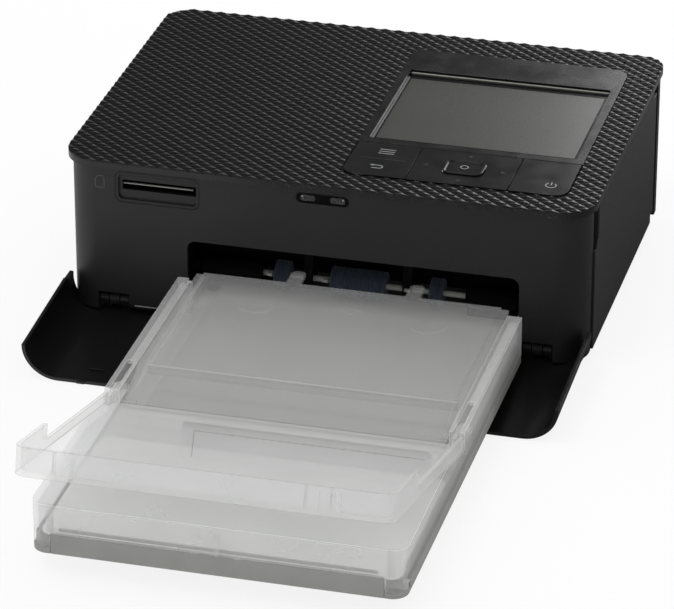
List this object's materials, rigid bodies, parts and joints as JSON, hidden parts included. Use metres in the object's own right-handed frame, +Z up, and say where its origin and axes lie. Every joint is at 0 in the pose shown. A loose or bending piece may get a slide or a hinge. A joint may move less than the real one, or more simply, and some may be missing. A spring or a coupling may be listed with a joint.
{
  "type": "photo printer",
  "caption": "Compact photo printer with an open front door, a paper cassette with a raised lid, a display and key panel, and a side cover over its ribbon cartridge.",
  "frame": {"origin": "centre of the whole object's footprint, on the surface it stands on", "axes": "+Z up, -Y towards the user (the cassette side), +X to the user's right"},
  "size_m": [0.1822, 0.3128, 0.0621],
  "materials": {
    "shell": "fine matt grain",
    "cover": "raised diamond relief, semi-matt",
    "gloss": "polished black",
    "window": "clear over dark",
    "display": "grey film",
    "board": "solder mask",
    "key": "polished black",
    "rubber": "matt",
    "dark": "matt",
    "steel": "brushed",
    "frost": "frosted, translucent",
    "grey": "satin",
    "paper": "smooth coated paper",
    "roller": "ribbed, matt",
    "platen": "matt",
    "gear": "satin",
    "brass": "machined",
    "aluminium": "extruded",
    "case": "satin",
    "film": "thin film",
    "chip": "matt"
  },
  "bodies": {
    "printer": {"base_tray": "shell", "front_shell": "shell", "left_panel": "shell", "rear_panel": "shell", "top_cover": "cover", "panel_bezel": "gloss", "display_window": "window", "display_module": "display", "panel_board": "board", "card_slot_bezel": "dark", "card_reader": "steel", "sensor_window": "gloss", "sensor_lenses": "window", "door_hinge_pins": "steel", "opening_guide": "dark", "drive_motor": "steel", "motor_bracket": "steel", "chassis": "steel", "cover_pins": "steel", "main_board": "board", "board_parts": "chip", "power_inlet": "dark", "usb_port": "steel", "battery_contacts": "brass", "feet": "rubber", "case_screws": "steel"},
    "door": {"front_door": "shell"},
    "cassette": {"cassette_base": "grey", "cassette_body": "frost", "cassette_front_strip": "grey", "paper_stack": "paper"},
    "cassette_outer_lid": {"outer_lid": "frost"},
    "cassette_inner_lid": {"inner_lid": "frost"},
    "cassette_lift_plate": {"lift_plate": "frost"},
    "pick_up": {"pick_shaft": "steel", "pick_rollers": "roller", "pick_sleeves": "dark", "pick_gear": "gear"},
    "idler": {"idler_gear": "gear"},
    "platen": {"platen_roller": "platen", "platen_gear": "gear"},
    "feed": {"feed_roller": "steel"},
    "pinch": {"pinch_roller": "steel"},
    "pinion": {"motor_pinion": "brass"},
    "head": {"thermal_head": "aluminium", "head_posts": "steel"},
    "cartridge": {"ribbon_case": "case", "ribbon_film": "film"},
    "supply": {"supply_spool": "film"},
    "take_up": {"take_up_spool": "film"},
    "side_cover": {"compartment_cover": "shell"},
    "menu_key": {"menu_rocker": "key"},
    "plate_pad": {"plate_carrier": "rubber"},
    "four_way_plate": {"direction_plate": "key"},
    "ok_button": {"ok_key": "key"},
    "power_button": {"power_key": "key"}
  },
  "joints": [
    {"name": "cassette_slide", "type": "slide", "parent": "printer", "child": "cassette", "axis": [0, -0.9816, 0.1908], "range_m": [0, 0.3]},
    {"name": "front_door_hinge", "type": "hinge", "parent": "printer", "child": "door", "pos_m": [0, 0.02845, 0.0083], "axis": [-1, 0, 0], "range_deg": [0, 93.4]},
    {"name": "outer_lid_hinge", "type": "hinge", "parent": "cassette", "child": "cassette_outer_lid", "pos_m": [0, -0.05555, 0.0205], "axis": [-1, 0, 0], "range_deg": [0, 125]},
    {"name": "inner_lid_hinge", "type": "hinge", "parent": "cassette", "child": "cassette_inner_lid", "pos_m": [0, -0.06105, 0.018], "axis": [1, 0, 0], "range_deg": [0, 75]},
    {"name": "lift_plate_hinge", "type": "hinge", "parent": "cassette", "child": "cassette_lift_plate", "pos_m": [0, -0.00055, 0.0089], "axis": [-1, 0, 0], "range_deg": [0, 2], "stiffness_Nm_per_rad": 0.4},
    {"name": "side_cover_hinge", "type": "hinge", "parent": "printer", "child": "side_cover", "pos_m": [0.0875, 0.14125, 0.004], "axis": [0, 0, 1], "range_deg": [0, 92]},
    {"name": "cartridge_slide", "type": "slide", "parent": "printer", "child": "cartridge", "axis": [1, 0, 0], "range_m": [0, 0.06]},
    {"name": "platen_spin", "type": "hinge", "parent": "printer", "child": "platen", "pos_m": [0, 0.07617, 0.0159], "axis": [1, 0, 0], "continuous": true},
    {"name": "idler_spin", "type": "hinge", "parent": "printer", "child": "idler", "pos_m": [0, 0.05775, 0.0226], "axis": [1, 0, 0], "continuous": true},
    {"name": "pick_up_spin", "type": "hinge", "parent": "printer", "child": "pick_up", "pos_m": [0, 0.03845, 0.0192], "axis": [1, 0, 0], "continuous": true},
    {"name": "feed_spin", "type": "hinge", "parent": "printer", "child": "feed", "pos_m": [0, 0.09217, 0.0159], "axis": [1, 0, 0], "continuous": true},
    {"name": "pinch_spin", "type": "hinge", "parent": "printer", "child": "pinch", "pos_m": [0, 0.09217, 0.0232], "axis": [1, 0, 0], "continuous": true},
    {"name": "motor_spin", "type": "hinge", "parent": "printer", "child": "pinion", "pos_m": [0, 0.10469, 0.01856], "axis": [1, 0, 0], "continuous": true},
    {"name": "supply_spin", "type": "hinge", "parent": "cartridge", "child": "supply", "pos_m": [0, 0.10367, 0.04], "axis": [1, 0, 0], "continuous": true},
    {"name": "take_up_spin", "type": "hinge", "parent": "cartridge", "child": "take_up", "pos_m": [0, 0.05667, 0.04], "axis": [1, 0, 0], "continuous": true},
    {"name": "head_press", "type": "slide", "parent": "printer", "child": "head", "axis": [0, 0, -1], "range_m": [0, 0.0031]},
    {"name": "menu_rock", "type": "hinge", "parent": "printer", "child": "menu_key", "pos_m": [0, 0.04805, 0.0592], "axis": [1, 0, 0], "range_deg": [-1.5, 1.5], "stiffness_Nm_per_rad": 0.05},
    {"name": "plate_tilt_front_back", "type": "hinge", "parent": "printer", "child": "plate_pad", "pos_m": [0, 0.04805, 0.0586], "axis": [1, 0, 0], "range_deg": [-1.2, 1.2], "stiffness_Nm_per_rad": 0.05},
    {"name": "plate_tilt_left_right", "type": "hinge", "parent": "plate_pad", "child": "four_way_plate", "pos_m": [0.0429, 0.02345, 0.0598], "axis": [0, 1, 0], "range_deg": [-0.8, 0.8], "stiffness_Nm_per_rad": 0.05},
    {"name": "ok_press", "type": "slide", "parent": "printer", "child": "ok_button", "axis": [0, 0, -1], "range_m": [0, 0.0003], "stiffness_N_per_m": 300},
    {"name": "power_press", "type": "slide", "parent": "printer", "child": "power_button", "axis": [0, 0, -1], "range_m": [0, 0.0003], "stiffness_N_per_m": 300}
  ],
  "couplings": [
    {"joint": "front_door_hinge", "follows": "cassette_slide", "rad_per_m": 5.4338},
    {"joint": "inner_lid_hinge", "follows": "cassette_slide", "rad_per_m": 4.3633},
    {"joint": "cartridge_slide", "follows": "side_cover_hinge", "m_per_rad": 0.037366},
    {"joint": "idler_spin", "follows": "platen_spin", "ratio": -0.68966},
    {"joint": "pick_up_spin", "follows": "platen_spin", "ratio": 1},
    {"joint": "feed_spin", "follows": "platen_spin", "ratio": -1},
    {"joint": "pinch_spin", "follows": "platen_spin", "ratio": 1.3333},
    {"joint": "motor_spin", "follows": "platen_spin", "ratio": 1.6667},
    {"joint": "supply_spin", "follows": "take_up_spin", "ratio": 0.78571}
  ]
}
